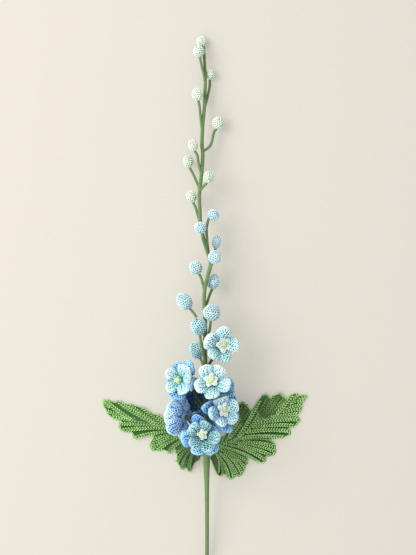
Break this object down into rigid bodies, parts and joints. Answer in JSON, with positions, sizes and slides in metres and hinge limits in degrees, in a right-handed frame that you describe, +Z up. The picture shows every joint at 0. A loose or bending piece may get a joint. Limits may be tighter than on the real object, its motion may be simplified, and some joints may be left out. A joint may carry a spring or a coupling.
{
  "type": "crocheted delphinium flower spike",
  "caption": "Long crocheted delphinium spike lying flat: wired green stem, yarn ball buds to the tip, a cluster of blue and pale blooms and two ribbed lobed leaves.",
  "frame": {"origin": "centre of the bounding box's base, on the surface that the cut stem lies on", "axes": "+Y along the stem towards its tip, +X across it towards the larger leaf, +Z up from the surface"},
  "size_m": [0.2196, 0.5997, 0.0704],
  "materials": {
    "stem": "green yarn wound tightly round the wire, matt",
    "wire": "plain drawn wire",
    "leaf": "green cotton yarn in crocheted ribs, matt",
    "bud_mint": "pale mint cotton yarn, crocheted, matt",
    "bud_sky": "pale sky blue cotton yarn, crocheted, matt",
    "bud_blue": "pale blue cotton yarn, crocheted, matt",
    "petal_pale": "pale aqua cotton yarn shaded with teal, crocheted, matt",
    "petal_blue": "cornflower blue cotton yarn, crocheted, matt",
    "heart": "white cotton yarn, crocheted, matt",
    "eye": "yellow-green cotton yarn, knotted, matt"
  },
  "bodies": {
    "root": {"bloom_1_eye": "eye", "bloom_1_heart": "heart", "bloom_1_inner_petals": "petal_pale", "bloom_2_eye": "eye", "bloom_2_heart": "heart", "bloom_2_inner_petals": "petal_pale", "bloom_3_eye": "eye", "bloom_3_heart": "heart", "bloom_3_inner_petals": "petal_pale", "bloom_3_outer_petals": "petal_blue", "bloom_4_eye": "eye", "bloom_4_heart": "heart", "bloom_4_inner_petals": "petal_pale", "bloom_4_outer_petals": "petal_blue", "bloom_5_eye": "eye", "bloom_5_heart": "heart", "bloom_5_inner_petals": "petal_pale", "bloom_5_outer_petals": "petal_blue", "bloom_6_eye": "eye", "bloom_6_heart": "heart", "bloom_6_inner_petals": "petal_pale", "bloom_6_outer_petals": "petal_blue", "bloom_7_eye": "eye", "bloom_7_heart": "heart", "bloom_7_inner_petals": "petal_pale", "bloom_7_outer_petals": "petal_blue", "bloom_8_eye": "eye", "bloom_8_heart": "heart", "bloom_8_inner_petals": "petal_pale", "bloom_8_outer_petals": "petal_blue", "bloom_9_eye": "eye", "bloom_9_heart": "heart", "bloom_9_inner_petals": "petal_pale", "bloom_9_outer_petals": "petal_blue", "bud_01": "bud_mint", "bud_02": "bud_mint", "bud_03": "bud_mint", "bud_04": "bud_mint", "bud_05": "bud_mint", "bud_06": "bud_mint", "bud_07": "bud_mint", "bud_08": "bud_mint", "bud_09": "bud_mint", "bud_10": "bud_sky", "bud_11": "bud_sky", "bud_12": "bud_sky", "bud_13": "bud_sky", "bud_14": "bud_blue", "bud_15": "bud_blue", "bud_16": "bud_blue", "bud_17": "bud_blue", "bud_18": "bud_blue", "bud_19": "bud_blue", "leaf_left": "leaf", "leaf_right": "leaf", "stem": "stem", "stem_wire": "wire"}
  },
  "joints": []
}
